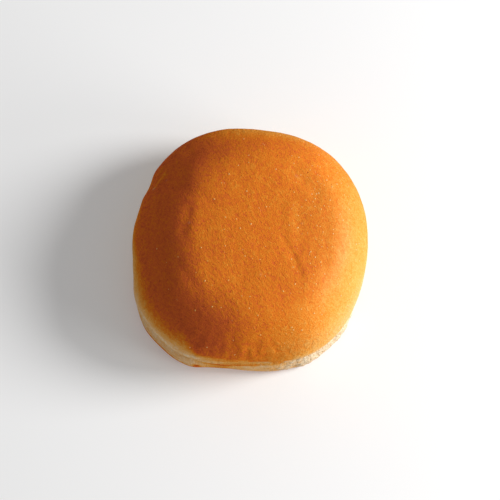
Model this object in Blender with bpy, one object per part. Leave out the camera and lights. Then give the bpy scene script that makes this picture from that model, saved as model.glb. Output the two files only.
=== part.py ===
"""A brioche burger bun, baked whole: a flat base, a pale waist, and a browned dome that sank to a level top.

Metres, +Z up. The origin is under the middle of the bun, on the plane that it rests on. Front is -Y.
"""

import math

import bmesh
import bpy
from mathutils import Vector, noise

# The whole bun.
WIDTH = 0.105
DEPTH = 0.108
HEIGHT = 0.052

# The profile from the middle of the top to the middle of the base.
WIDEST_RADIUS = 0.0525
WIDEST_HEIGHT = 0.020
DOME_RISE = 0.0375
DOME_FULLNESS = 2.3
TOP_CROWNING = 0.0012
TOP_RADIUS = 0.030
SHOULDER_SOFTNESS = 0.0016
HEEL_UNDERCUT = 0.0006
BASE_EDGE_RADIUS = 0.0036
PROFILE_STEPS = 400

# The outline from above: a rounded square with one long diagonal.
SQUARENESS = 0.030
CORNER_AZIMUTH = math.radians(39)
OVALNESS = 0.010
LONG_AZIMUTH = math.radians(80)
THREE_SIDEDNESS = 0.009
THREE_SIDED_AZIMUTH = math.radians(-21)

# Where the whole side was pushed in or stands out: azimuth, half angle, outward distance.
SIDE_PUSHES = (
    (math.radians(40), math.radians(18), -0.0012),
    (math.radians(124), math.radians(15), 0.0008),
    (math.radians(168), math.radians(18), 0.0014),
    (math.radians(275), math.radians(24), -0.0028),
    (math.radians(322), math.radians(24), -0.0022),
)

# The level top lies to the right of the middle and towards the front.
TOP_SHIFT = Vector((0.0050, -0.0012, 0.0))

# The heel spreads or stands back along the outline: azimuth, half angle, outward distance.
HEEL_SPREADS = (
    (math.radians(224), math.radians(26), 0.0023),
    (math.radians(292), math.radians(28), 0.0017),
    (math.radians(258), math.radians(9), -0.0010),
    (math.radians(80), math.radians(75), -0.0028),
)
HEEL_TOP = 0.019

# The waist: a low ridge round it with a crease below, where the risen dough folded over its foot.
# The crease climbs towards the front, fades towards the back, and is uneven in depth along its way.
CREASE_HEIGHT = 0.0125
CREASE_FRONT_RISE = 0.0040
CREASE_FRONT_AZIMUTH = math.radians(266)
CREASE_FRONT_WIDTH = math.radians(26)
CREASE_DEPTH = 0.0009
CREASE_WIDTH = 0.0020
CREASE_REAR_SHARE = 0.35
CREASE_FULL_FROM = 0.625
CREASE_UNEVENNESS = 0.3
CREASE_WAVES = 2.0
CREASE_WAVES_PLACE = 2.5
RIDGE_ABOVE_CREASE = 0.0042
RIDGE_PROUD = 0.0005
RIDGE_WIDTH = 0.0024

# Marks in the skin, each along a short line: start, end, half width and depth. A negative depth stands proud.
MARKS = (
    # A fold on the left border of the level top, and a faint crease on its right.
    (Vector((-0.0262, 0.0088, 0.0484)), Vector((-0.0287, -0.0021, 0.0486)), 0.0024, 0.0003),
    (Vector((0.0198, 0.0049, 0.0508)), Vector((0.0197, -0.0164, 0.0509)), 0.0028, 0.0002),
    # Dents in the left and right rear shoulders.
    (Vector((-0.0276, 0.0340, 0.0401)), Vector((-0.0311, 0.0276, 0.0414)), 0.0045, 0.0009),
    (Vector((0.0235, 0.0215, 0.0500)), Vector((0.0285, 0.0180, 0.0495)), 0.0050, 0.0003),
    # The nick in the left rear side, and the lobe of crust that stands out under it.
    (Vector((-0.0395, 0.0335, 0.0300)), Vector((-0.0445, 0.0250, 0.0270)), 0.0021, 0.0011),
    (Vector((-0.0425, 0.0325, 0.0220)), Vector((-0.0440, 0.0300, 0.0215)), 0.0038, -0.0009),
    # The pleat at the left front corner of the heel.
    (Vector((-0.0253, -0.0514, 0.0200)), Vector((-0.0262, -0.0520, 0.0040)), 0.0020, 0.0011),
)

# Slow unevenness of the whole skin, which fades out down to the level base.
SWELL_SIZE = 0.030
SWELL_DEPTH = 0.0009
SWELL_PLACE = Vector((3.7, 8.1, 2.4))
SWELL_FULL_HEIGHT = 2.0 * BASE_EDGE_RADIUS

# The grid of squares that covers the bun: one square of cells over the top, one over the base, and rows
# round the side between them. The reaches are half the side of those two squares, along the skin.
CELLS = 28
GRID_ROUNDING = 0.55
TOP_GRID_REACH = 0.026
BASE_GRID_REACH = 0.026
CROWN_ROWS = 15
WAIST_ROWS = 8
EDGE_ROWS = 3
BLEND_ROWS = 5
BASE_BLEND_ROWS = 2
TINY = 1e-6

CRUST_COLOUR = (0.62, 0.24, 0.05, 1.0)
CRUST_ROUGHNESS = 0.5


def smooth_step(value):
    value = min(max(value, 0.0), 1.0)
    return value * value * (3.0 - 2.0 * value)


def bell(distance, width):
    return math.exp(-((distance / width) ** 2))


def angle_between(first, second):
    return math.remainder(first - second, math.tau)


def soft_lower(first, second, softness):
    """The lower of two heights, rounded over where they meet."""
    gap = first - second
    return (first + second - math.sqrt(gap * gap + 4.0 * softness * softness)) / 2.0


def crown_profile():
    """Radius and height from the middle of the top down to the widest line."""
    points = []
    for step in range(PROFILE_STEPS + 1):
        turn = step / PROFILE_STEPS * math.pi / 2.0
        radius = WIDEST_RADIUS * math.sin(turn) ** (2.0 / DOME_FULLNESS)
        dome = WIDEST_HEIGHT + DOME_RISE * max(math.cos(turn), 0.0)
        level = HEIGHT - TOP_CROWNING * (radius / TOP_RADIUS) ** 2
        points.append((radius, soft_lower(dome, level, SHOULDER_SOFTNESS)))
    return points


def waist_profile():
    """Radius and height from the widest line down to the top of the base's rounded edge."""
    points = []
    for step in range(1, PROFILE_STEPS + 1):
        down = step / PROFILE_STEPS
        height = WIDEST_HEIGHT + (BASE_EDGE_RADIUS - WIDEST_HEIGHT) * down
        points.append((WIDEST_RADIUS - HEEL_UNDERCUT * down * down, height))
    return points


def base_profile():
    """Radius and height round the base's edge and across to the middle of the base."""
    centre = WIDEST_RADIUS - HEEL_UNDERCUT - BASE_EDGE_RADIUS
    points = []
    for step in range(1, PROFILE_STEPS + 1):
        turn = step / PROFILE_STEPS * math.pi / 2.0
        radius = centre + BASE_EDGE_RADIUS * math.cos(turn)
        points.append((radius, BASE_EDGE_RADIUS * (1.0 - math.sin(turn))))
    points.append((0.0, 0.0))
    return points


def run_lengths(points):
    """The distance along a profile at each of its points."""
    lengths = [0.0]
    for before, after in zip(points, points[1:]):
        lengths.append(lengths[-1] + math.dist(before, after))
    return lengths


def point_along(points, lengths, run):
    """Radius and height at a distance along a profile."""
    low, high = 0, len(lengths) - 1
    while high - low > 1:
        middle = (low + high) // 2
        if lengths[middle] <= run:
            low = middle
        else:
            high = middle
    part = (run - lengths[low]) / (lengths[high] - lengths[low])
    part = min(max(part, 0.0), 1.0)
    radius = points[low][0] + part * (points[high][0] - points[low][0])
    height = points[low][1] + part * (points[high][1] - points[low][1])
    return radius, height


def row_runs(crown_end, waist_end, edge_end, total):
    """The distance along the profile of each row of squares down the side."""
    runs = [TOP_GRID_REACH + (crown_end - TOP_GRID_REACH) * row / CROWN_ROWS for row in range(CROWN_ROWS)]
    runs += [crown_end + (waist_end - crown_end) * row / WAIST_ROWS for row in range(WAIST_ROWS)]
    runs += [waist_end + (edge_end - waist_end) * row / EDGE_ROWS for row in range(EDGE_ROWS)]
    flat_rows = CELLS - CROWN_ROWS - WAIST_ROWS - EDGE_ROWS
    flat_end = total - BASE_GRID_REACH
    runs += [edge_end + (flat_end - edge_end) * row / flat_rows for row in range(flat_rows + 1)]
    return runs


def rounded(across, along, amount):
    """A point of the unit square, moved by the amount towards the circle through its own square."""
    reach = max(abs(across), abs(along))
    if reach < TINY:
        return Vector((0.0, 0.0))
    if abs(across) >= abs(along):
        turn = math.pi / 4.0 * along / across + (0.0 if across > 0.0 else math.pi)
    else:
        turn = math.pi / 2.0 - math.pi / 4.0 * across / along + (0.0 if along > 0.0 else math.pi)
    circle = Vector((reach * math.cos(turn), reach * math.sin(turn)))
    return Vector((across, along)).lerp(circle, amount)


def azimuth_and_run(corner, runs, total):
    """Where a point of the cube from -1 to 1 lies on the bun: its azimuth, and its distance from the top."""
    across, along, up = corner
    reach = max(abs(across), abs(along))
    row = round((1.0 - up) / 2.0 * CELLS)
    if 0 < row < CELLS or reach > 1.0 - TINY:
        from_top = GRID_ROUNDING + (1.0 - GRID_ROUNDING) * smooth_step(row / BLEND_ROWS)
        from_base = GRID_ROUNDING + (1.0 - GRID_ROUNDING) * smooth_step((CELLS - row) / BASE_BLEND_ROWS)
        place = rounded(across, along, min(from_top, from_base))
        excess = place.length - 1.0
        if row < CELLS / 2:
            run = runs[row] + TOP_GRID_REACH * excess
        else:
            run = runs[row] - BASE_GRID_REACH * excess
    else:
        place = rounded(across, along, GRID_ROUNDING * reach * reach)
        run = TOP_GRID_REACH * place.length if row == 0 else total - BASE_GRID_REACH * place.length
    return math.atan2(place.y, place.x), run


def outline(azimuth):
    """How far the outline stands outside a circle, as a share of its radius."""
    square = SQUARENESS * math.cos(4.0 * (azimuth - CORNER_AZIMUTH))
    oval = OVALNESS * math.cos(2.0 * (azimuth - LONG_AZIMUTH))
    three = THREE_SIDEDNESS * math.cos(3.0 * (azimuth - THREE_SIDED_AZIMUTH))
    return square + oval + three


def pushed(azimuth, pushes):
    """The outward distance that a list of pushes gives at an azimuth."""
    return sum(distance * bell(angle_between(azimuth, middle), width) for middle, width, distance in pushes)


def waist_relief(azimuth, height):
    """The waist's ridge and crease, which come and go round the bun."""
    to_front = 0.5 - 0.5 * math.sin(azimuth)
    strength = CREASE_REAR_SHARE + (1.0 - CREASE_REAR_SHARE) * smooth_step(to_front / CREASE_FULL_FROM)
    round_waist = CREASE_WAVES * Vector((math.cos(azimuth), math.sin(azimuth), CREASE_WAVES_PLACE))
    strength += CREASE_UNEVENNESS * noise.noise(round_waist)
    front = bell(angle_between(azimuth, CREASE_FRONT_AZIMUTH), CREASE_FRONT_WIDTH)
    above_crease = height - CREASE_HEIGHT - CREASE_FRONT_RISE * front
    ridge = RIDGE_PROUD * bell(above_crease - RIDGE_ABOVE_CREASE, RIDGE_WIDTH)
    return strength * (ridge - CREASE_DEPTH * bell(above_crease, CREASE_WIDTH))


def mark_depth(point):
    """How deep the marks are at a point of the skin."""
    depth = 0.0
    for start, end, width, deepest in MARKS:
        line = end - start
        part = min(max((point - start).dot(line) / line.length_squared, 0.0), 1.0)
        depth += deepest * bell((point - start - part * line).length, width)
    return depth


def shaped_point(azimuth, run, points, lengths):
    """A point of the bun, with the unevenness of its outline, heel, waist and top."""
    radius, height = point_along(points, lengths, run)
    above_base = smooth_step(height / BASE_EDGE_RADIUS)
    push = pushed(azimuth, SIDE_PUSHES) + above_base * waist_relief(azimuth, height)
    push += pushed(azimuth, HEEL_SPREADS) * (1.0 - smooth_step(height / HEEL_TOP))
    part = radius / WIDEST_RADIUS
    reach = radius * (1.0 + (outline(azimuth) + push / WIDEST_RADIUS) * part * part)
    place = Vector((reach * math.cos(azimuth), reach * math.sin(azimuth), height))
    return place + TOP_SHIFT * smooth_step((height - WIDEST_HEIGHT) / (HEIGHT - WIDEST_HEIGHT))


def add_bun():
    points = crown_profile() + waist_profile() + base_profile()
    lengths = run_lengths(points)
    crown_end = lengths[PROFILE_STEPS]
    waist_end = lengths[2 * PROFILE_STEPS]
    edge_end = lengths[3 * PROFILE_STEPS]
    runs = row_runs(crown_end, waist_end, edge_end, lengths[-1])

    shell = bmesh.new()
    bmesh.ops.create_cube(shell, size=2.0)
    bmesh.ops.subdivide_edges(shell, edges=shell.edges[:], cuts=CELLS - 1, use_grid_fill=True)
    for vertex in shell.verts:
        azimuth, run = azimuth_and_run(vertex.co, runs, lengths[-1])
        vertex.co = shaped_point(azimuth, run, points, lengths)
    press_marks(shell)
    fit_to_size(shell)
    bmesh.ops.recalc_face_normals(shell, faces=shell.faces[:])

    mesh = bpy.data.meshes.new("bun")
    shell.to_mesh(mesh)
    shell.free()
    mesh.shade_smooth()
    mesh.materials.append(crust_material())
    bun = bpy.data.objects.new("bun", mesh)
    bpy.context.scene.collection.objects.link(bun)


def press_marks(shell):
    """Moves the skin along its normals for the marks and the slow swells, and leaves the base level."""
    shell.normal_update()
    moves = {}
    for vertex in shell.verts:
        swell = SWELL_DEPTH * noise.noise(vertex.co / SWELL_SIZE + SWELL_PLACE)
        above_base = smooth_step(vertex.co.z / SWELL_FULL_HEIGHT)
        moves[vertex] = vertex.normal * (swell - mark_depth(vertex.co)) * above_base
    for vertex, move in moves.items():
        vertex.co += move


def fit_to_size(shell):
    """Brings the bun to its exact size, centred over the origin and resting at height zero."""
    low = Vector([min(vertex.co[axis] for vertex in shell.verts) for axis in range(3)])
    high = Vector([max(vertex.co[axis] for vertex in shell.verts) for axis in range(3)])
    foot = Vector(((low.x + high.x) / 2.0, (low.y + high.y) / 2.0, low.z))
    span = high - low
    bmesh.ops.translate(shell, verts=shell.verts[:], vec=-foot)
    bmesh.ops.scale(shell, verts=shell.verts[:], vec=(WIDTH / span.x, DEPTH / span.y, HEIGHT / span.z))


def crust_material():
    material = bpy.data.materials.new("crust")
    material.use_nodes = True
    surface = material.node_tree.nodes["Principled BSDF"]
    surface.inputs["Base Color"].default_value = CRUST_COLOUR
    surface.inputs["Roughness"].default_value = CRUST_ROUGHNESS
    surface.inputs["Metallic"].default_value = 0.0
    return material


for leftover in list(bpy.data.objects):
    bpy.data.objects.remove(leftover)
add_bun()
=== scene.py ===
import math
import random

import bpy
from mathutils import Matrix, Vector, noise


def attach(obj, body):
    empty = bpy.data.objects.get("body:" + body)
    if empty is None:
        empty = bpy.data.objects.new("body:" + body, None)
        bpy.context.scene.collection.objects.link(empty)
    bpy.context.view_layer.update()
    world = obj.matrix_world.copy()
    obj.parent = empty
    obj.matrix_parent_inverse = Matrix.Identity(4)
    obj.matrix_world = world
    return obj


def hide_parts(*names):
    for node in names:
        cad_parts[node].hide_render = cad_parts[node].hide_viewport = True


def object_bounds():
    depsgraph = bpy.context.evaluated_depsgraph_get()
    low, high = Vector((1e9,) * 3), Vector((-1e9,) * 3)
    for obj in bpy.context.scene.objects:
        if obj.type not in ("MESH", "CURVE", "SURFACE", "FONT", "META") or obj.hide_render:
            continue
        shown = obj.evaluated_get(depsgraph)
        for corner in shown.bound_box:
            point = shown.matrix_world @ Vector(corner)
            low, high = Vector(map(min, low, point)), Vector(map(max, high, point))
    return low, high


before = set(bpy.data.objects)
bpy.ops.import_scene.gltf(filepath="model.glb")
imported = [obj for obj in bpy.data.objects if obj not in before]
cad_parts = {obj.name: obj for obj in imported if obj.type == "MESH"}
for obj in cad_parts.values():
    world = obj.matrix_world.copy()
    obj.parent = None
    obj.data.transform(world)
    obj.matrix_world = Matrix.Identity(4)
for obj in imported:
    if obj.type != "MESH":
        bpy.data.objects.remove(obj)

solid_low, solid_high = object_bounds()

# The bun is one piece of soft, egg-washed dough, baked on a flat tray beside others. Its skin is the solid's
# surface: the triangles are joined into squares, the base gets a fresh grid, and two rounds of subdivision
# make it fine enough for folds, wrinkles and torn crumb.
BASE_LOOP_SIDE = 28
SKIN_LEVELS = 2
QUAD_ANGLE = math.radians(60)
TOUCH = 1e-6


def linked(name, mesh):
    piece = bpy.data.objects.new(name, mesh)
    bpy.context.scene.collection.objects.link(piece)
    return piece


bun = linked("brioche_bun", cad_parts["bun"].data.copy())
bun.data.materials.clear()
bpy.ops.object.select_all(action="DESELECT")
bun.select_set(True)
bpy.context.view_layer.objects.active = bun
bpy.ops.object.mode_set(mode="EDIT")
bpy.ops.mesh.select_all(action="SELECT")
bpy.ops.mesh.customdata_custom_splitnormals_clear()
bpy.ops.mesh.remove_doubles(threshold=TOUCH)
bpy.ops.mesh.tris_convert_to_quads(face_threshold=QUAD_ANGLE, shape_threshold=QUAD_ANGLE)
bpy.ops.mesh.select_all(action="DESELECT")
bpy.ops.mesh.select_mode(type="FACE")
bpy.ops.object.mode_set(mode="OBJECT")
for face in bun.data.polygons:
    face.select = all(bun.data.vertices[index].co.z < TOUCH for index in face.vertices)
bpy.ops.object.mode_set(mode="EDIT")
bpy.ops.mesh.delete(type="FACE")
bpy.ops.mesh.select_mode(type="EDGE")
bpy.ops.mesh.select_non_manifold()
bpy.ops.mesh.fill_grid(span=BASE_LOOP_SIDE)
bpy.ops.mesh.select_all(action="SELECT")
bpy.ops.mesh.normals_make_consistent(inside=False)
bpy.ops.object.mode_set(mode="OBJECT")

fine = bun.modifiers.new("fine skin", "SUBSURF")
fine.levels = SKIN_LEVELS
fine.render_levels = SKIN_LEVELS
bpy.ops.object.modifier_apply(modifier=fine.name)

# The relief of the skin: slow swells of the dough, pleats where the side shrank, the crease round the waist,
# the folds beside the level top, the nick at the left rear, and the torn crumb where a neighbour was pulled
# away. Azimuths run from the right side round by the rear, so the front is at 270 degrees.
SIDE_RADIUS = 0.050
CREASE_HEIGHT = 0.0125
CREASE_FRONT_RISE = 0.0040
GROOVE_HEIGHT = 0.0222
LIP_HEIGHT = 0.0180
CORNER = math.radians(245)
CORNER_RADIUS = 0.055
FLAKE_HEIGHT = 0.0222
DARK_SPOT_HEIGHT = 0.0070


def bell(distance, width):
    return math.exp(-((distance / width) ** 2))


def smooth(value, start=0.0, end=1.0):
    part = min(max((value - start) / (end - start), 0.0), 1.0)
    return part * part * (3.0 - 2.0 * part)


def apart(first, second):
    return math.remainder(first - second, math.tau)


def toward(azimuth, middle, spread):
    """How near an azimuth is to the middle one: 1 there, and near 0 beyond twice the spread."""
    return bell(apart(azimuth, math.radians(middle)), math.radians(spread))


def rough(place, size, seed=0.0):
    """Smooth noise from -1 to 1 with bumps of about the size."""
    return noise.noise(place / size + Vector((seed, -seed, 2.0 * seed)))


def from_line(point, start, end):
    """How far a point is from a short line."""
    line = end - start
    part = min(max((point - start).dot(line) / line.length_squared, 0.0), 1.0)
    return (point - start - part * line).length


def round_side(azimuth, height=0.0):
    """A place round the side at one radius, for marks that run along or up the side."""
    return Vector((SIDE_RADIUS * math.cos(azimuth), SIDE_RADIUS * math.sin(azimuth), height))


# Where the browned crust ends round the side: azimuth in degrees, height and softness of that border in mm.
CRUST_ENDS = (
    (0, 14.0, 3.0), (110, 15.0, 3.0), (180, 17.5, 12.0), (205, 19.0, 14.0), (238, 20.5, 14.0),
    (246, 21.5, 6.0), (262, 22.5, 3.0), (276, 16.0, 2.5), (284, 11.0, 2.5), (293, 16.0, 7.0),
    (301, 16.0, 5.0), (310, 12.5, 2.5), (335, 12.0, 2.0), (360, 14.0, 3.0),
)


def crust_end(azimuth):
    """The height where the browned crust gives way to the pale waist, and how softly it does."""
    turn = math.degrees(azimuth) % 360.0
    for (start, height, soft), (end, next_height, next_soft) in zip(CRUST_ENDS, CRUST_ENDS[1:]):
        if turn <= end:
            part = smooth(turn, start, end)
            height += (next_height - height) * part
            soft += (next_soft - soft) * part
            break
    level = round_side(azimuth)
    wander = 0.7 * rough(level, 0.009, 3.0) + 0.5 * rough(level, 0.0035, 3.5)
    return 0.001 * (height + wander), 0.001 * soft


def swells(point, azimuth):
    """Slow, shallow swells all over."""
    return 0.00013 * rough(point, 0.0085, 1.0) + 0.00006 * rough(point, 0.0038, 2.0)


# Broad, low forms of the level top and its shoulders: x, y, radius and height in mm.
FRONT_SWELL = 1.60
SOFT_FORMS = ((-25, 0, 12, 0.45), (-28, 29, 6.5, 0.80), (-36, 29, 5.5, -0.95), (-35, -28, 10, 0.90))


def soft_forms(point, azimuth):
    """The soft forms, and the swollen front shoulder."""
    out = FRONT_SWELL * bell(point.x + 0.0030, 0.0160)
    out *= smooth(-point.y, 0.020, 0.036)
    out *= smooth(point.z, 0.021, 0.032)
    for x, y, radius, height in SOFT_FORMS:
        out += height * bell(math.hypot(point.x - 0.001 * x, point.y - 0.001 * y), 0.001 * radius)
    return 0.001 * out


def skin_wrinkles(point, azimuth):
    """The finely puckered skin of the top, in short runs towards the front right."""
    across = Vector((point.x + point.y, 0.55 * (point.x - point.y), point.z))
    return 0.000030 * rough(across, 0.0019, 4.0) * smooth(point.z, 0.030, 0.044)


def front_pleats(point, azimuth):
    """Fine, uneven upright pleats in the front, where the crust shrank over the waist."""
    window = toward(azimuth, 266, 22) * bell(point.z - 0.028, 0.011)
    return 0.00048 * window * rough(round_side(azimuth, 0.45 * point.z), 0.0030, 5.0)


def side_streaks(point, azimuth):
    """Faint upright streaks all round the crust's side."""
    window = smooth(point.z, 0.014, 0.022) * smooth(point.z, 0.047, 0.038)
    return 0.00007 * window * rough(round_side(azimuth, 0.3 * point.z), 0.0026, 6.0)


def crease_wander(azimuth):
    """How far the crease strays up or down from its height."""
    return 0.0007 * rough(round_side(azimuth), 0.009, 7.0)


def waist_crease(point, azimuth):
    """The broken crease line round the waist, sharpest at the left front, with a soft fold above it."""
    front = toward(azimuth, 266, 26)
    wander = crease_wander(azimuth)
    above = point.z - CREASE_HEIGHT - CREASE_FRONT_RISE * front - wander
    broken = smooth(rough(round_side(azimuth), 0.007, 8.0), -0.45, 0.25)
    strength = (0.35 + 0.65 * smooth(-math.sin(azimuth), -0.4, 0.4)) * broken
    groove = -0.00050 * bell(above, 0.00075) + 0.00016 * bell(above - 0.0016, 0.0009)
    second = -0.00030 * bell(above + 0.0040 - wander, 0.0007) * front
    return strength * (groove + second)


def waist_folds(point, azimuth):
    """Where the waist's level folds stand out or in, from -1 to 1."""
    return rough(round_side(azimuth, 3.6 * point.z), 0.0052, 9.0)


def waist_wrinkles(point, azimuth):
    """Thin level wrinkles over the pale waist, deepest at the front."""
    border = crust_end(azimuth)[0]
    window = smooth(point.z, 0.003, 0.007) * smooth(point.z - border, 0.004, -0.001)
    front = toward(azimuth, 268, 24)
    return (0.00012 + 0.00020 * front) * window * waist_folds(point, azimuth)


def front_lines(point, azimuth):
    """Two thin folds at the left front, above the crease: a groove under the crust, and a lip below it."""
    level = 0.0006 * rough(round_side(azimuth), 0.012, 17.0)
    groove = bell(point.z - GROOVE_HEIGHT - level, 0.0006) * toward(azimuth, 258, 9)
    lip = bell(point.z - LIP_HEIGHT - level, 0.0008) * toward(azimuth, 253, 6)
    return 0.00030 * lip - 0.00035 * groove


def from_corner(point, azimuth, height):
    """How far a spot of the side is from the left front corner at a height."""
    return math.hypot(CORNER_RADIUS * apart(azimuth, CORNER), point.z - height)


def corner_flake(point, azimuth):
    """The little torn flake that stands off the skin at the left front corner."""
    return 0.0007 * bell(from_corner(point, azimuth, FLAKE_HEIGHT), 0.0011)


# Bulges and dents of the side: azimuth and spread in degrees, height, spread and depth in mm.
SIDE_FORMS = (
    (243, 4, 3, 7, 0.3), (251, 6, 5, 9, -0.8), (207, 10, 14, 13, 0.9), (227, 8, 7, 10, -0.8),
    (290, 6, 5, 9, -0.8), (304, 6, 5, 9, -0.8), (320, 6, 5, 9, 0.7), (175, 8, 24, 12, 0.7),
    (148.5, 5, 29, 13, -1.5),
)


def side_forms(point, azimuth):
    """The bulges and dents of the side."""
    out = 0.0
    for middle, spread, height, tall, depth in SIDE_FORMS:
        out += depth * toward(azimuth, middle, spread) * bell(point.z - 0.001 * height, 0.001 * tall)
    return 0.001 * out


def torn_crumb(point, azimuth):
    """How much a spot belongs to the torn crumb at the front right, from 0 to 1."""
    along = toward(azimuth, 309, 22) * smooth(point.z, 0.0006, 0.0018)
    return smooth(along * smooth(point.z, 0.0190, 0.0120) + 0.40 * rough(point, 0.003, 10.0), 0.25, 0.6)


def torn_relief(point, azimuth):
    """The open, pitted crumb where the neighbour was pulled away."""
    pits = noise.turbulence(point / 0.0032, 3, False)
    return torn_crumb(point, azimuth) * (0.00012 - 0.00050 * (pits - 0.35)) * smooth(point.z, 0.0005, 0.003)


# Folds and ridges of the level top: where each starts and ends, its width, and how far it stands out.
TOP_FOLDS = (
    ((-0.0273, 0.0090), (-0.0294, -0.0020), 0.0020, -0.00015),
    ((-0.0262, 0.0090), (-0.0283, -0.0020), 0.0009, -0.00003),
    ((-0.0235, 0.0110), (-0.0249, -0.0030), 0.0024, 0.00012),
    ((-0.0315, -0.0160), (-0.0250, -0.0250), 0.0020, -0.00020),
    ((-0.0215, -0.0150), (-0.0195, -0.0270), 0.0026, 0.00014),
    ((0.0172, 0.0090), (0.0182, -0.0030), 0.0024, 0.00024),
    ((0.0142, -0.0055), (0.0188, -0.0140), 0.0017, -0.00019),
    ((0.0188, -0.0140), (0.0224, -0.0225), 0.0017, -0.00017),
    ((0.0176, -0.0079), (0.0240, -0.0215), 0.0016, 0.00014),
    ((0.0190, 0.0250), (0.0285, 0.0165), 0.0032, -0.00030),
    ((0.0334, 0.0052), (0.0328, -0.0218), 0.0022, -0.00010),
)


def top_folds(point, azimuth):
    """The short fold left of the level top, and the shallow crease and ridge right of it."""
    wobble = Vector((0.0006 * rough(point, 0.005, 11.0), 0.0, 0.0))
    flat = Vector((point.x, point.y, 0.0)) + wobble
    depth = 0.0
    for start, end, width, out in TOP_FOLDS:
        depth += out * bell(from_line(flat, Vector((*start, 0.0)), Vector((*end, 0.0))), width)
    return depth * smooth(point.z, 0.040, 0.046)


NICK_EDGE = (Vector((-0.0375, 0.0302, 0.0)), Vector((-0.0429, 0.0234, 0.0)))
NICK_LOBE = (Vector((-0.0385, 0.0335, 0.0290)), Vector((-0.0432, 0.0268, 0.0290)))
NICK_NOTCH = (Vector((-0.0436, 0.0256, 0.0200)), Vector((-0.0436, 0.0256, 0.0330)))


def nick(point, azimuth):
    """The lobe at the left rear, the notch that ends it, and the thin raised edge inside it."""
    lobe = from_line(point, *NICK_LOBE)
    notch = from_line(point, *NICK_NOTCH)
    edge = from_line(Vector((point.x + 0.0005, point.y - 0.0003, 0.0)), *NICK_EDGE)
    ridge = bell(edge, 0.0008) * smooth(point.z, 0.026, 0.029)
    return 0.0013 * bell(lobe, 0.0022) - 0.0007 * bell(notch, 0.0010) + 0.00040 * ridge


def base_relief(point, azimuth):
    """The underside: slightly hollow in the middle, and finely pitted where it lay on the tray."""
    radius = math.hypot(point.x, point.y)
    hollow = 0.00035 * smooth(radius, 0.040, 0.012)
    pits = 0.00012 * max(rough(point, 0.0030, 12.0), 0.0) + 0.00010 * max(rough(point, 0.0065, 13.0), 0.0)
    return -(hollow + pits) * smooth(point.z, 0.0006, 0.0)


RELIEFS = (
    swells, soft_forms, skin_wrinkles, front_pleats, side_streaks, waist_crease, waist_wrinkles, front_lines,
    corner_flake, side_forms, torn_relief, top_folds, nick,
)

skin = bun.data
outward = [vertex.normal.copy() for vertex in skin.vertices]
for vertex, normal in zip(skin.vertices, outward):
    point = vertex.co.copy()
    azimuth = math.atan2(point.y, point.x)
    off_base = smooth(point.z, 0.0, 0.0025)
    out = off_base * sum(relief(point, azimuth) for relief in RELIEFS) + base_relief(point, azimuth)
    vertex.co = point + out * normal
skin.shade_smooth()

# How far each spot is baked, from pale crumb at 0 to dark brown at 1: brown over the top, darkest on the
# left shoulder, which is painted shade, golden down the right side, partly a painted sheen, pale round the
# waist, and brown again at the tray's edge and underneath. Painted shade and painted highlights also mark
# the left front, the rear rim, the nick's edge, the heel at the left front, and the waist's ridge, crease,
# groove and lip.
BAKE_TOP = 0.80
BAKE_BASE = 0.72
BAKE_WAIST = 0.30
TOP_HEIGHT = 0.0510
PALE_PATCH = (Vector((0.0185, 0.0080, TOP_HEIGHT)), Vector((0.0195, -0.0010, TOP_HEIGHT)))


def crust_baked(point, normal, azimuth):
    """The crust: paler down the right side, partly a painted sheen, and at the rear rim, partly a painted
    rim light; a painted highlight on the nick's edge; painted shade on the left and at the left front.
    """
    drop = max(TOP_HEIGHT - point.z, 0.0)
    right = toward(azimuth, -14, 55)
    # Paler down the right side, which faces the lamp: partly paler crust, partly a painted sheen.
    paler = 0.22 * (1.0 - math.exp(-drop / 0.0030)) + 0.17 * smooth(point.z, 0.034, 0.020)
    right_front = 0.14 * toward(azimuth, -42, 24) * smooth(point.z, 0.044, 0.030)
    # Browner and darker where the crust faces left, away from the lamp: painted shade.
    left = 0.10 * smooth(-normal.x, 0.02, 0.45)
    # Browner and darker at the left front shoulder: painted shade.
    front = 0.07 * toward(azimuth, 254, 26) * smooth(normal.z, 0.97, 0.80)
    # Paler along the rear rim: partly paler crust, partly a painted rim light.
    rim = toward(azimuth, 78, 34) * smooth(point.z, 0.046, 0.034)
    rear = 0.05 * smooth(normal.y, 0.2, 0.7) - 0.20 * rim
    patch = 0.05 * bell(from_line(point, *PALE_PATCH), 0.0035)
    # A pale line inside the nick's edge: a painted highlight where the edge catches the light.
    highlight_line_distance = from_line(Vector((point.x, point.y, 0.0)), *NICK_EDGE)
    painted_edge_highlight = 0.17 * bell(highlight_line_distance, 0.0007) * smooth(point.z, 0.026, 0.029)
    return BAKE_TOP - painted_edge_highlight - right * paler - right_front + left + front + rear - patch


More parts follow.
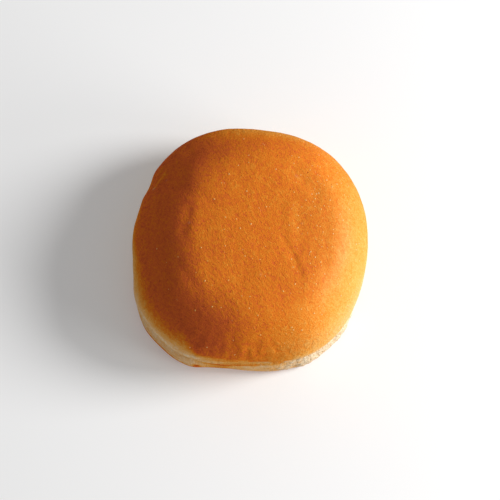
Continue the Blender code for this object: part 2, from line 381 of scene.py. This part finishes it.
def waist_baked(point, azimuth):
    """The waist: tan, with a painted highlight along its ridge and on the front lip, painted shade in the
    crease, the front groove and the heel at the left front, browner folds in the front, and white torn
    crumb.
    """
    waist = BAKE_WAIST - 0.06 * toward(azimuth, 222, 30)
    waist += 0.10 * waist_folds(point, azimuth)
    # A pale line along the waist's ridge: a painted highlight.
    ridge = bell(point.z - 0.0195 - 0.0006 * rough(point, 0.006, 18.0), 0.0013)
    waist -= 0.10 * ridge * toward(azimuth, 226, 24)
    above_crease = smooth(point.z, 0.0115, 0.0140)
    waist += 0.28 * above_crease * toward(azimuth, 264, 15)
    # Browner heel under the overhang at the left front: painted shade.
    waist += 0.36 * (1.0 - above_crease) * toward(azimuth, 256, 7)
    # Darker along the crease at the front: painted shade in the crease.
    painted_crease_shade = bell(point.z - 0.0127 - crease_wander(azimuth), 0.0009)
    waist += 0.45 * painted_crease_shade * toward(azimuth, 264, 15)
    # Darker in the front groove, which is painted shade, and paler on the lip below it, which is a painted
    # highlight.
    lip = bell(point.z - LIP_HEIGHT, 0.0009) * toward(azimuth, 253, 7)
    groove = bell(point.z - GROOVE_HEIGHT, 0.0007) * toward(azimuth, 258, 9)
    waist += 0.25 * groove - 0.25 * lip
    return waist - 0.30 * bell(from_corner(point, azimuth, FLAKE_HEIGHT), 0.0015)


def bake_at(point, normal, azimuth):
    """The crust over the waist, with the brown edge and base, and a dark red-brown spot low at the corner.
    """
    border, soft = crust_end(azimuth)
    above = point.z - border
    waist = waist_baked(point, azimuth)
    side = waist + (crust_baked(point, normal, azimuth) - waist) * smooth(above, -0.1 * soft, 1.2 * soft)
    edge_height = 0.0018 + 0.0050 * toward(azimuth, 218, 42)
    edge = smooth(point.z - edge_height + 0.0014 * rough(point, 0.003, 15.0), 0.0006, -0.0006)
    base = BAKE_BASE + 0.14 * rough(point, 0.008, 16.0)
    baked = side + (base - side) * edge
    return baked + 0.75 * bell(from_corner(point, azimuth, DARK_SPOT_HEIGHT), 0.0016)


def paint(mesh, name, values):
    layer = mesh.attributes.new(name, "FLOAT", "POINT")
    layer.data.foreach_set("value", values)


baked = []
torn = []
for vertex in skin.vertices:
    azimuth = math.atan2(vertex.co.y, vertex.co.x)
    baked.append(bake_at(vertex.co, vertex.normal, azimuth))
    torn.append(torn_crumb(vertex.co, azimuth))
paint(skin, "baked", baked)
paint(skin, "torn", torn)

# The side unrolled: a place for each spot that runs round the bun and down its side, for upright streaks.
unrolled = skin.attributes.new("unrolled", "FLOAT_VECTOR", "POINT")
for vertex, spot in zip(skin.vertices, unrolled.data):
    radius = max(math.hypot(vertex.co.x, vertex.co.y), TOUCH)
    around = SIDE_RADIUS / radius
    spot.vector = (around * vertex.co.x, around * vertex.co.y, radius - vertex.co.z)


# The colour of egg-washed dough as it bakes is shared by the skin, its blisters and its crumbs.
DOUGH_COLOURS = (
    (0.00, (0.76, 0.65, 0.48)),
    (0.15, (0.75, 0.53, 0.30)),
    (0.30, (0.73, 0.41, 0.16)),
    (0.50, (0.71, 0.34, 0.075)),
    (0.70, (0.68, 0.22, 0.022)),
    (0.80, (0.66, 0.165, 0.013)),
    (0.92, (0.58, 0.104, 0.024)),
    (1.00, (0.45, 0.080, 0.021)),
)
CRUMB_COLOURS = (
    (0.32, (0.56, 0.33, 0.15)),
    (0.45, (0.68, 0.50, 0.31)),
    (0.60, (0.76, 0.62, 0.43)),
)


def math_node(tree, operation, first, second=None, third=None):
    node = tree.nodes.new("ShaderNodeMath")
    node.operation = operation
    for socket, value in zip(node.inputs, (first, second, third)):
        if isinstance(value, (int, float)):
            socket.default_value = value
        elif value is not None:
            tree.links.new(value, socket)
    return node.outputs[0]


def noise_node(tree, place, size, detail=2.0, distortion=0.0):
    node = tree.nodes.new("ShaderNodeTexNoise")
    node.inputs["Scale"].default_value = 1.0 / size
    node.inputs["Detail"].default_value = detail
    node.inputs["Distortion"].default_value = distortion
    tree.links.new(place, node.inputs["Vector"])
    return node.outputs["Fac"]


def range_node(tree, value, low, high, to_low, to_high):
    node = tree.nodes.new("ShaderNodeMapRange")
    node.interpolation_type = "SMOOTHSTEP"
    for label, number in (("From Min", low), ("From Max", high), ("To Min", to_low), ("To Max", to_high)):
        node.inputs[label].default_value = number
    tree.links.new(value, node.inputs["Value"])
    return node.outputs["Result"]


def colour_group(name, value, colours):
    """A node group that turns one value into a colour from a list of stops."""
    group = bpy.data.node_groups.new(name, "ShaderNodeTree")
    group.interface.new_socket(value, in_out="INPUT", socket_type="NodeSocketFloat")
    group.interface.new_socket("Color", in_out="OUTPUT", socket_type="NodeSocketColor")
    group_in = group.nodes.new("NodeGroupInput")
    group_out = group.nodes.new("NodeGroupOutput")
    ramp = group.nodes.new("ShaderNodeValToRGB")
    stops = ramp.color_ramp.elements
    stops.remove(stops[1])
    stops[0].position = colours[0][0]
    stops[0].color = (*colours[0][1], 1.0)
    for position, colour in colours[1:]:
        stops.new(position).color = (*colour, 1.0)
    group.links.new(group_in.outputs[value], ramp.inputs["Fac"])
    group.links.new(ramp.outputs["Color"], group_out.inputs["Color"])
    return group


dough_colour = colour_group("dough colour", "Baked", DOUGH_COLOURS)
crumb_colour = colour_group("torn crumb colour", "Depth", CRUMB_COLOURS)


# The skin's own finish: finely puckered crust with dark pores, dry open crumb round the waist, and a thin
# coat of dried egg wash on the top and down the right side. The puckers run towards the front right on the
# top, and up and down on the side.
FINE_RELIEF = 0.00045
PORE_SPACING = 0.0042


def stretched(tree, place, turn, scale):
    node = tree.nodes.new("ShaderNodeMapping")
    node.vector_type = "TEXTURE"
    node.inputs["Rotation"].default_value = (0.0, 0.0, turn)
    node.inputs["Scale"].default_value = scale
    tree.links.new(place, node.inputs["Vector"])
    return node.outputs["Vector"]


def attribute(tree, name, output):
    node = tree.nodes.new("ShaderNodeAttribute")
    node.attribute_name = name
    return node.outputs[output]


def skin_material():
    material = bpy.data.materials.new("egg-washed crust")
    material.use_nodes = True
    tree = material.node_tree
    surface = tree.nodes["Principled BSDF"]
    place = tree.nodes.new("ShaderNodeTexCoord").outputs["Object"]
    baked = attribute(tree, "baked", "Fac")
    side_place = attribute(tree, "unrolled", "Vector")

    broad = noise_node(tree, place, 0.0075, 2.0)
    middle = noise_node(tree, place, 0.0024, 3.0, 0.4)
    along = stretched(tree, place, math.radians(-45), (1.7, 1.0, 1.0))
    puckers = noise_node(tree, along, 0.0011, 3.0, 0.6)
    grain = noise_node(tree, place, 0.00045, 2.0)
    down = stretched(tree, side_place, 0.0, (1.0, 1.0, 2.6))
    streaks = noise_node(tree, down, 0.0017, 3.0, 0.9)
    axes = tree.nodes.new("ShaderNodeSeparateXYZ")
    tree.links.new(place, axes.inputs["Vector"])
    below_top = range_node(tree, axes.outputs["Z"], 0.030, 0.044, 1.0, 0.0)
    above_base = range_node(tree, axes.outputs["Z"], 0.0008, 0.0030, 0.0, 1.0)
    on_side = math_node(tree, "MULTIPLY", below_top, above_base)
    streaks = math_node(tree, "MULTIPLY", math_node(tree, "SUBTRACT", streaks, 0.5), on_side)

    pore_cells = tree.nodes.new("ShaderNodeTexVoronoi")
    pore_cells.inputs["Scale"].default_value = 1.0 / PORE_SPACING
    tree.links.new(place, pore_cells.inputs["Vector"])
    chosen = range_node(tree, pore_cells.outputs["Color"], 0.55, 0.75, 0.0, 1.0)
    dot = range_node(tree, pore_cells.outputs["Distance"], 0.05, 0.11, 1.0, 0.0)
    pores = math_node(tree, "MULTIPLY", chosen, dot)

    level = math_node(tree, "MULTIPLY_ADD", streaks, -0.32, baked)
    even = range_node(tree, baked, 0.80, 0.93, 1.0, 0.62)
    for source, amount in ((broad, 0.12), (middle, 0.13), (puckers, 0.34), (grain, 0.42)):
        shift = math_node(tree, "MULTIPLY_ADD", source, -amount, 0.5 * amount)
        level = math_node(tree, "MULTIPLY_ADD", shift, even, level)
    level = math_node(tree, "MULTIPLY_ADD", pores, 0.16, level)
    colour = tree.nodes.new("ShaderNodeGroup")
    colour.node_tree = dough_colour
    tree.links.new(level, colour.inputs["Baked"])
    torn = attribute(tree, "torn", "Fac")
    holes = noise_node(tree, place, 0.0014, 4.0, 0.8)
    bare = tree.nodes.new("ShaderNodeGroup")
    bare.node_tree = crumb_colour
    tree.links.new(holes, bare.inputs["Depth"])
    mixed = tree.nodes.new("ShaderNodeMix")
    mixed.data_type = "RGBA"
    tree.links.new(torn, mixed.inputs["Factor"])
    tree.links.new(colour.outputs["Color"], mixed.inputs["A"])
    tree.links.new(bare.outputs["Color"], mixed.inputs["B"])
    tree.links.new(mixed.outputs["Result"], surface.inputs["Base Color"])

    relief = math_node(tree, "MULTIPLY", puckers, 0.6)
    relief = math_node(tree, "MULTIPLY_ADD", grain, 0.45, relief)
    relief = math_node(tree, "MULTIPLY_ADD", pores, -0.5, relief)
    relief = math_node(tree, "MULTIPLY_ADD", streaks, 1.2, relief)
    relief = math_node(tree, "MULTIPLY_ADD", math_node(tree, "MULTIPLY", holes, torn), 1.6, relief)
    bump = tree.nodes.new("ShaderNodeBump")
    bump.inputs["Distance"].default_value = FINE_RELIEF
    bump.inputs["Strength"].default_value = 1.0
    tree.links.new(relief, bump.inputs["Height"])
    tree.links.new(bump.outputs["Normal"], surface.inputs["Normal"])

    dry = range_node(tree, baked, 0.15, 0.55, 0.90, 0.70)
    tree.links.new(dry, surface.inputs["Roughness"])
    surface.inputs["Specular IOR Level"].default_value = 0.0
    top_wash = range_node(tree, axes.outputs["Z"], 0.043, 0.050, 0.0, 0.06)
    right_wash = range_node(tree, axes.outputs["X"], 0.005, 0.040, 0.0, 0.18)
    above_waist = range_node(tree, axes.outputs["Z"], 0.022, 0.034, 0.0, 1.0)
    egg_wash = math_node(tree, "MULTIPLY_ADD", right_wash, above_waist, top_wash)
    tree.links.new(egg_wash, surface.inputs["Coat Weight"])
    surface.inputs["Coat Roughness"].default_value = 0.50
    return material


skin.materials.append(skin_material())
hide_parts("bun")
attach(bun, "root")

# Blisters: small bubbles of egg wash that dried pale on the crust, as low domes about half a millimetre
# across. The largest have places of their own, and the rest are scattered, more of them down the right side.
# Each is sunk a little into the skin that it dried on.
BLISTER_RADIUS = 0.00030
BLISTER_SUNK = 0.00003
PLACED_BLISTERS = (
    (0.0002, 0.0006, 1.3), (-0.0045, -0.0013, 1.1), (0.0190, 0.0155, 1.2), (-0.0094, 0.0239, 1.1),
    (0.0242, 0.0119, 1.0), (0.0308, 0.0079, 1.1), (0.0316, -0.0026, 0.9), (0.0348, 0.0123, 1.1),
    (0.0404, 0.0035, 1.2), (0.0432, 0.0092, 1.2), (0.0357, 0.0188, 1.0), (0.0261, 0.0263, 0.9),
    (-0.0265, -0.0492, 1.2), (-0.0190, -0.0502, 1.2), (0.0394, -0.0292, 1.3), (0.0391, 0.0061, 0.9),
    (0.0191, 0.0293, 0.9), (0.0037, 0.0080, 0.8),
)
SCATTERED_BLISTERS = 290
draw = random.Random(7)


def blister_spots():
    """Where the blisters sit: a point of the skin, its outward direction and a size."""
    spots = []
    for x, y, size in PLACED_BLISTERS:
        point, normal = bun.ray_cast(Vector((x, y, 0.1)), Vector((0.0, 0.0, -1.0)))[1:3]
        spots.append((point, normal, size))
    faces = skin.polygons
    while len(spots) < len(PLACED_BLISTERS) + SCATTERED_BLISTERS:
        face = faces[draw.randrange(len(faces))]
        right = smooth(face.center.x, 0.010, 0.042)
        middle = smooth(face.center.x, -0.034, -0.012)
        wanted = (0.02 + 0.12 * middle + 0.86 * right) * smooth(face.center.z, 0.020, 0.030)
        if draw.random() < wanted:
            spots.append((face.center.copy(), face.normal.copy(), 0.50 + 0.75 * draw.random() ** 2))
    return spots


def joined(copies, name):
    """The copies as one object at the origin."""
    bpy.ops.object.select_all(action="DESELECT")
    for piece in copies:
        piece.select_set(True)
    bpy.context.view_layer.objects.active = copies[0]
    bpy.ops.object.join()
    copies[0].name = name
    bpy.ops.object.transform_apply(location=True, rotation=True, scale=True)
    return copies[0]


def set_on_skin(pattern, point, normal, turn, scale, sunk):
    """A copy of the pattern with its own mesh, standing on the skin."""
    piece = linked("copy", pattern.data.copy())
    upright = normal.to_track_quat("Z", "Y").to_matrix().to_4x4()
    place = Matrix.Translation(point - sunk * normal)
    piece.data.transform(place @ upright @ Matrix.Rotation(turn, 4, "Z") @ Matrix.Diagonal((*scale, 1.0)))
    return piece


bpy.ops.object.select_all(action="DESELECT")
bpy.ops.mesh.primitive_uv_sphere_add(segments=8, ring_count=5, radius=BLISTER_RADIUS)
dome = bpy.context.object
blisters = []
for point, normal, size in blister_spots():
    length = size * (1.0 + 0.5 * draw.random())
    scale = Vector((length, size, 0.45 * size))
    blisters.append(set_on_skin(dome, point, normal, math.tau * draw.random(), scale, BLISTER_SUNK))
bpy.data.objects.remove(dome)
blister = joined(blisters, "egg_wash_blisters")
blister.data.shade_smooth()

wash = bpy.data.materials.new("dried egg wash")
wash.use_nodes = True
wash_tree = wash.node_tree
wash_surface = wash_tree.nodes["Principled BSDF"]
wash_place = wash_tree.nodes.new("ShaderNodeTexCoord").outputs["Object"]
wash_shade = noise_node(wash_tree, wash_place, 0.006, 1.0)
wash_colour = wash_tree.nodes.new("ShaderNodeGroup")
wash_colour.node_tree = dough_colour
wash_baked = math_node(wash_tree, "MULTIPLY_ADD", wash_shade, -0.4, 0.62)
wash_tree.links.new(wash_baked, wash_colour.inputs["Baked"])
wash_tree.links.new(wash_colour.outputs["Color"], wash_surface.inputs["Base Color"])
wash_surface.inputs["Roughness"].default_value = 0.40
wash_surface.inputs["Specular IOR Level"].default_value = 0.4
blister.data.materials.append(wash)
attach(blister, "root")

# Torn crumbs: rags of soft crumb along the right front heel, where a neighbouring bun was pulled away, and a
# few browned flakes of crust that cling to the tray's edge. They are fixed by their own torn fibres.
CRUMB_RADIUS = 0.0006
CRUMB_SUNK = 0.0001
CRUMB_RAGS = 230
EDGE_FLAKES = 90


def crumb_pattern(seed):
    """One ragged lump of crumb."""
    bpy.ops.object.select_all(action="DESELECT")
    bpy.ops.mesh.primitive_uv_sphere_add(segments=8, ring_count=6, radius=CRUMB_RADIUS)
    lump = bpy.context.object
    for vertex in lump.data.vertices:
        ragged = noise.turbulence(vertex.co / (0.8 * CRUMB_RADIUS) + Vector((seed, 0.0, 0.0)), 2, False)
        vertex.co *= 0.60 + 0.85 * ragged
    return lump


def from_side(azimuth, height):
    """The spot of the skin that faces outward at an azimuth and a height, and its outward direction."""
    out = Vector((math.cos(azimuth), math.sin(azimuth), 0.0))
    return bun.ray_cast(Vector((0.0, 0.0, height)) + 0.1 * out, -out)[1:3]


def scattered(patterns, count, middle, spread, lowest, highest, sizes, flat):
    """Lumps round part of the side, thickest near the middle azimuth."""
    copies = []
    while len(copies) < count:
        azimuth = math.radians(draw.gauss(middle, spread))
        height = lowest + (highest - lowest) * draw.random() ** 2
        point, normal = from_side(azimuth, height)
        size = draw.uniform(*sizes)
        scale = Vector((size * draw.uniform(1.0, 1.8), size, flat * size))
        lump = draw.choice(patterns)
        turn = draw.uniform(-0.4, 0.4)
        copies.append(set_on_skin(lump, point, normal, turn, scale, CRUMB_SUNK))
    return copies


def crumb_material(name, group, value, low, high):
    """Dry crumb or flake: one colour group, its value taken from noise within a range."""
    material = bpy.data.materials.new(name)
    material.use_nodes = True
    tree = material.node_tree
    surface = tree.nodes["Principled BSDF"]
    spread = noise_node(tree, tree.nodes.new("ShaderNodeTexCoord").outputs["Object"], 0.0011, 2.0)
    colour = tree.nodes.new("ShaderNodeGroup")
    colour.node_tree = group
    tree.links.new(range_node(tree, spread, 0.3, 0.7, low, high), colour.inputs[value])
    tree.links.new(colour.outputs["Color"], surface.inputs["Base Color"])
    surface.inputs["Roughness"].default_value = 0.9
    surface.inputs["Specular IOR Level"].default_value = 0.04
    return material


patterns = [crumb_pattern(seed) for seed in (1.0, 4.0, 9.0)]
rag_copies = scattered(patterns, CRUMB_RAGS, 299.0, 16.0, 0.0012, 0.0130, (0.35, 1.0), 0.55)
rags = joined(rag_copies, "torn_crumb_rags")
left_flakes = scattered(patterns, EDGE_FLAKES // 2, 230.0, 22.0, 0.0012, 0.0070, (0.3, 0.6), 0.4)
front_flakes = scattered(patterns, EDGE_FLAKES // 2, 292.0, 22.0, 0.0012, 0.0050, (0.3, 0.7), 0.5)
flakes = joined(left_flakes + front_flakes, "browned_edge_flakes")
for lump in patterns:
    bpy.data.objects.remove(lump)
rags.data.materials.append(crumb_material("torn crumb", crumb_colour, "Depth", 0.35, 0.62))
flakes.data.materials.append(crumb_material("browned flake", dough_colour, "Baked", 0.55, 0.95))
for piece in (rags, flakes):
    piece.data.shade_smooth()
    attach(piece, "root")

# The floor is a wide, plain, pale sheet of paper with a faint glow of its own, which keeps it near white. It
# isn't part of the bun.
bpy.ops.object.select_all(action="DESELECT")
bpy.ops.mesh.primitive_plane_add(size=8.0, location=(0.0, 0.0, 0.0))
floor = bpy.context.object
floor.name = "floor"
paper = bpy.data.materials.new("white paper")
paper.use_nodes = True
paper_surface = paper.node_tree.nodes["Principled BSDF"]
paper_surface.inputs["Base Color"].default_value = (0.72, 0.72, 0.72, 1.0)
paper_surface.inputs["Roughness"].default_value = 0.9
paper_surface.inputs["Specular IOR Level"].default_value = 0.1
paper_surface.inputs["Emission Color"].default_value = (1.0, 1.0, 1.0, 1.0)
paper_surface.inputs["Emission Strength"].default_value = 0.16
floor.data.materials.append(paper)

# A soft lamp to the right of the bun, a faint one at the right front, and even white light from all round.
# Each lamp has its azimuth and elevation in degrees, and its watts.
LAMPS = (("soft lamp", 5.5, 32.0, 17.6), ("faint lamp", -22.0, 18.0, 5.2))
LAMP_DISTANCE = 1.2
LAMP_SIZE = 0.5
FILL = 0.30

bun_middle = Vector((0.0, 0.0, 0.5 * solid_high.z))
for name, azimuth, elevation, watts in LAMPS:
    lamp = bpy.data.lights.new(name, "AREA")
    lamp.shape = "DISK"
    lamp.size = LAMP_SIZE
    lamp.energy = watts
    lamp_holder = bpy.data.objects.new(name, lamp)
    round_by = math.radians(azimuth)
    up_by = math.radians(elevation)
    level = math.cos(up_by)
    out = Vector((level * math.cos(round_by), level * math.sin(round_by), math.sin(up_by)))
    lamp_holder.location = bun_middle + LAMP_DISTANCE * out
    lamp_holder.rotation_euler = (-out).to_track_quat("-Z", "Y").to_euler()
    bpy.context.scene.collection.objects.link(lamp_holder)

world = bpy.data.worlds.new("white room")
bpy.context.scene.world = world
world.use_nodes = True
world.node_tree.nodes["Background"].inputs["Color"].default_value = (1.0, 1.0, 1.0, 1.0)
world.node_tree.nodes["Background"].inputs["Strength"].default_value = FILL
bpy.context.scene.view_settings.view_transform = "Standard"

# The camera looks down at the bun from the front, steeply and from well back.
CAMERA_ELEVATION = math.radians(74)
CAMERA_LENS = 202.0
CAMERA_SENSOR = 36.0
CAMERA_DISTANCE = 1.25
CAMERA_AIM = Vector((-0.0002, -0.0021, 0.020))

camera_data = bpy.data.cameras.new("camera")
camera_data.lens = CAMERA_LENS
camera_data.sensor_width = CAMERA_SENSOR
camera = bpy.data.objects.new("camera", camera_data)
back = Vector((0.0, -math.cos(CAMERA_ELEVATION), math.sin(CAMERA_ELEVATION)))
camera.location = CAMERA_AIM + CAMERA_DISTANCE * back
camera.rotation_euler = (-back).to_track_quat("-Z", "Y").to_euler()
bpy.context.scene.collection.objects.link(camera)
bpy.context.scene.camera = camera
